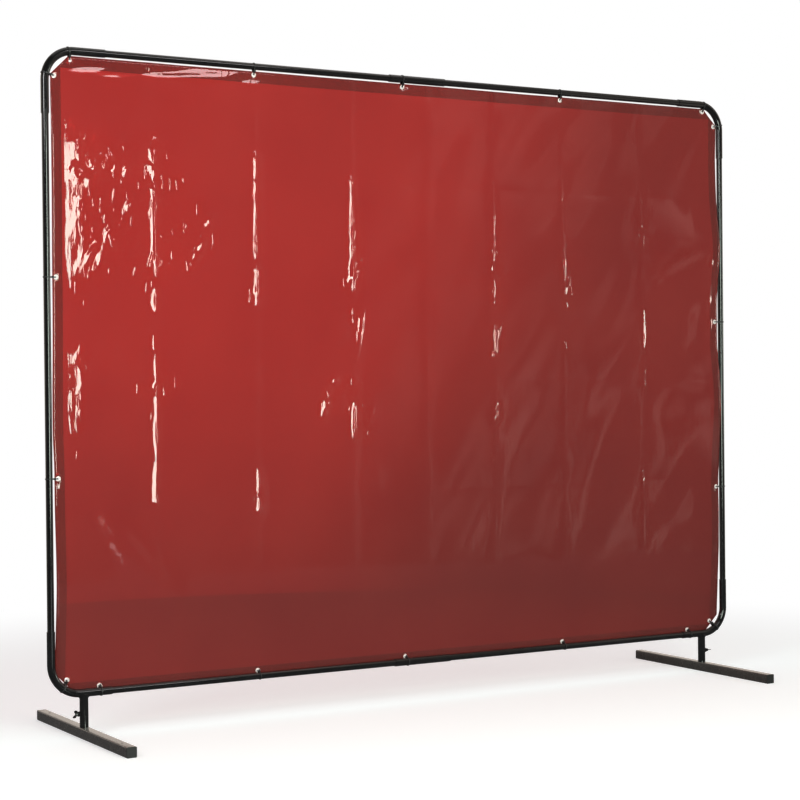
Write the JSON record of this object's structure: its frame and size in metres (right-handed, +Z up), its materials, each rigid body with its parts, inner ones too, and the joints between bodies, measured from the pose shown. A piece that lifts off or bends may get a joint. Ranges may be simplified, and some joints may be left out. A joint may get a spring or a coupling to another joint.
{
  "type": "welding screen",
  "caption": "Portable welding screen: translucent red PVC curtain tied with cable ties into a round-cornered black tube frame, standing on swivelling bar feet clamped by wing screws.",
  "frame": {"origin": "on the floor, in the middle of the screen's width and on its tube frame's plane", "axes": "+Z up; +X along the screen, to the right as its front is faced; +Y through it, towards the back, where the curtain hangs behind the bottom tube"},
  "size_m": [2.4636, 0.7, 1.9595],
  "materials": {
    "black_paint": "gloss",
    "foot_paint": "semi-gloss",
    "cap_plastic": "matte",
    "screw_steel": "black zinc, satin",
    "red_pvc": "glossy, translucent",
    "bright_plate": "bright nickel plate",
    "tie_nylon": "satin"
  },
  "bodies": {
    "frame_body": {"bottom_coupler": "black_paint", "bottom_left_elbow": "black_paint", "bottom_right_elbow": "black_paint", "bottom_tube_left": "black_paint", "bottom_tube_right": "black_paint", "curtain": "red_pvc", "eyelet_bottom_1": "bright_plate", "eyelet_bottom_2": "bright_plate", "eyelet_bottom_3": "bright_plate", "eyelet_bottom_4": "bright_plate", "eyelet_bottom_5": "bright_plate", "eyelet_bottom_left_corner": "bright_plate", "eyelet_bottom_right_corner": "bright_plate", "eyelet_left_1": "bright_plate", "eyelet_left_2": "bright_plate", "eyelet_right_1": "bright_plate", "eyelet_right_2": "bright_plate", "eyelet_top_1": "bright_plate", "eyelet_top_2": "bright_plate", "eyelet_top_3": "bright_plate", "eyelet_top_left_corner_lower": "bright_plate", "eyelet_top_left_corner_upper": "bright_plate", "eyelet_top_right_corner_lower": "bright_plate", "eyelet_top_right_corner_upper": "bright_plate", "left_post": "black_paint", "left_side_tube": "black_paint", "right_post": "black_paint", "right_side_tube": "black_paint", "tie_bottom_1": "tie_nylon", "tie_bottom_2": "tie_nylon", "tie_bottom_3": "tie_nylon", "tie_bottom_4": "tie_nylon", "tie_bottom_5": "tie_nylon", "tie_bottom_left_corner": "tie_nylon", "tie_bottom_right_corner": "tie_nylon", "tie_left_1": "tie_nylon", "tie_left_2": "tie_nylon", "tie_right_1": "tie_nylon", "tie_right_2": "tie_nylon", "tie_top_1": "tie_nylon", "tie_top_2": "tie_nylon", "tie_top_3": "tie_nylon", "tie_top_left_corner_lower": "tie_nylon", "tie_top_left_corner_upper": "tie_nylon", "tie_top_right_corner_lower": "tie_nylon", "tie_top_right_corner_upper": "tie_nylon", "top_coupler": "black_paint", "top_left_elbow": "black_paint", "top_right_elbow": "black_paint", "top_tube_left": "black_paint", "top_tube_right": "black_paint"},
    "left_foot_body": {"left_foot": "foot_paint", "left_foot_cap_front": "cap_plastic", "left_foot_cap_rear": "cap_plastic"},
    "right_foot_body": {"right_foot": "foot_paint", "right_foot_cap_front": "cap_plastic", "right_foot_cap_rear": "cap_plastic"},
    "left_screw_body": {"left_wing_screw": "screw_steel"},
    "right_screw_body": {"right_wing_screw": "screw_steel"}
  },
  "joints": [
    {"name": "left_foot_swivel", "type": "hinge", "parent": "frame_body", "child": "left_foot_body", "pos_m": [-1.124, 0, 0.03], "axis": [0, 0, 1], "continuous": true},
    {"name": "right_foot_swivel", "type": "hinge", "parent": "frame_body", "child": "right_foot_body", "pos_m": [1.124, 0, 0.03], "axis": [0, 0, 1], "continuous": true},
    {"name": "left_screw_turn", "type": "hinge", "parent": "frame_body", "child": "left_screw_body", "pos_m": [-1.124, 0, 0.069], "axis": [1, 0, 0], "continuous": true},
    {"name": "right_screw_turn", "type": "hinge", "parent": "frame_body", "child": "right_screw_body", "pos_m": [1.124, 0, 0.069], "axis": [1, 0, 0], "continuous": true}
  ]
}
